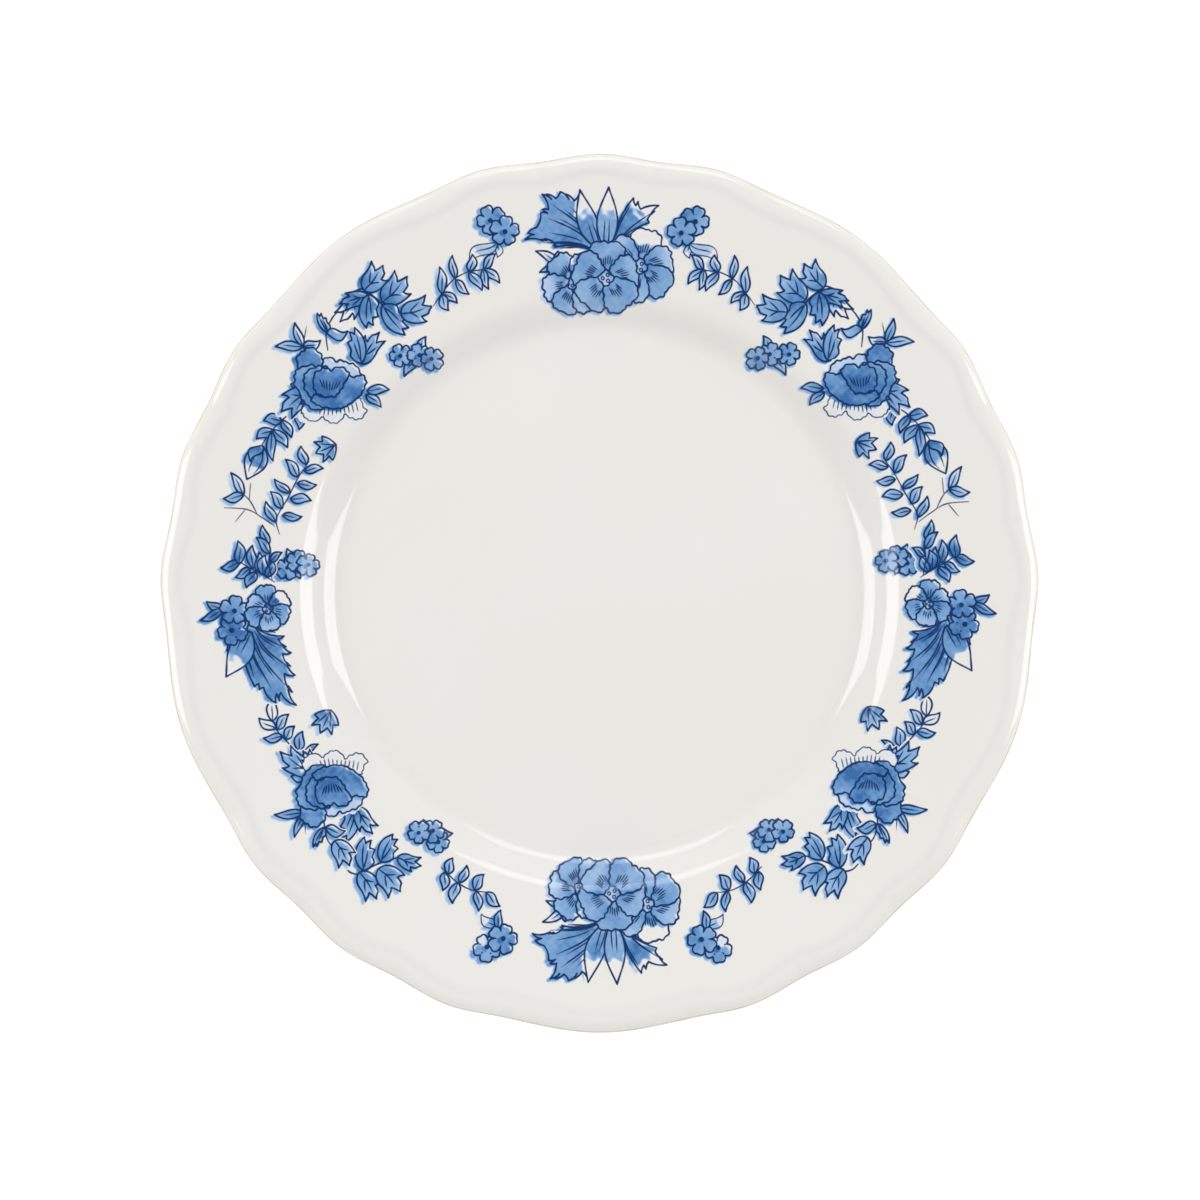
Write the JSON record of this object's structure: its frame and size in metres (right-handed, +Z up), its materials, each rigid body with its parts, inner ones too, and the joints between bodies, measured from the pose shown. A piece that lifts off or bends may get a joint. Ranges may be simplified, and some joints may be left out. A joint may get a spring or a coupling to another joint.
{
  "type": "dinner plate",
  "caption": "Round porcelain dinner plate with a scalloped edge, a flat well, a sloping rim of blue flower sprays and a foot ring underneath.",
  "frame": {"origin": "on the table, under the middle of the plate", "axes": "+Z up out of the well, square to the foot ring; +Y towards the bouquet at the middle of three narrow lobes; +X to its right"},
  "size_m": [0.2712, 0.2714, 0.0227],
  "materials": {
    "bare_porcelain": "fired hard-paste porcelain, bare and matte on the foot ring; glass stands in for it and it is opaque",
    "clear_glaze": "clear glossy glaze over white porcelain; opaque as seen",
    "edge_band": "glaze drawn thin over the lip, a warm tan line",
    "cobalt_transfer": "cobalt blue ceramic transfer sunk in the glaze, glossy"
  },
  "bodies": {
    "root": {"porcelain_body": "bare_porcelain", "glaze_face": "clear_glaze", "glaze_back": "clear_glaze", "edge_band": "edge_band", "bouquet_top": "cobalt_transfer", "bouquet_bottom": "cobalt_transfer", "crown_right": "cobalt_transfer", "crown_left": "cobalt_transfer", "side_sprig_right": "cobalt_transfer", "side_sprig_left": "cobalt_transfer", "twigs_right": "cobalt_transfer", "twigs_left": "cobalt_transfer", "leaf_sprig_right": "cobalt_transfer", "leaf_sprig_left": "cobalt_transfer", "bud_fern_right": "cobalt_transfer", "bud_fern_left": "cobalt_transfer", "posy_upper_right": "cobalt_transfer", "posy_upper_left": "cobalt_transfer", "posy_lower_right": "cobalt_transfer", "posy_lower_left": "cobalt_transfer", "branch_upper_right": "cobalt_transfer", "branch_upper_left": "cobalt_transfer", "branch_lower_right": "cobalt_transfer", "branch_lower_left": "cobalt_transfer", "rose_upper_right": "cobalt_transfer", "rose_upper_left": "cobalt_transfer", "rose_lower_right": "cobalt_transfer", "rose_lower_left": "cobalt_transfer", "inner_posy_upper_right": "cobalt_transfer", "inner_posy_upper_left": "cobalt_transfer", "inner_posy_side_right": "cobalt_transfer", "inner_posy_side_left": "cobalt_transfer", "inner_posy_lower_right": "cobalt_transfer", "inner_posy_lower_left": "cobalt_transfer", "fan_leaf_upper_right": "cobalt_transfer", "fan_leaf_upper_left": "cobalt_transfer", "fan_leaf_lower_right": "cobalt_transfer", "fan_leaf_lower_left": "cobalt_transfer"}
  },
  "joints": []
}
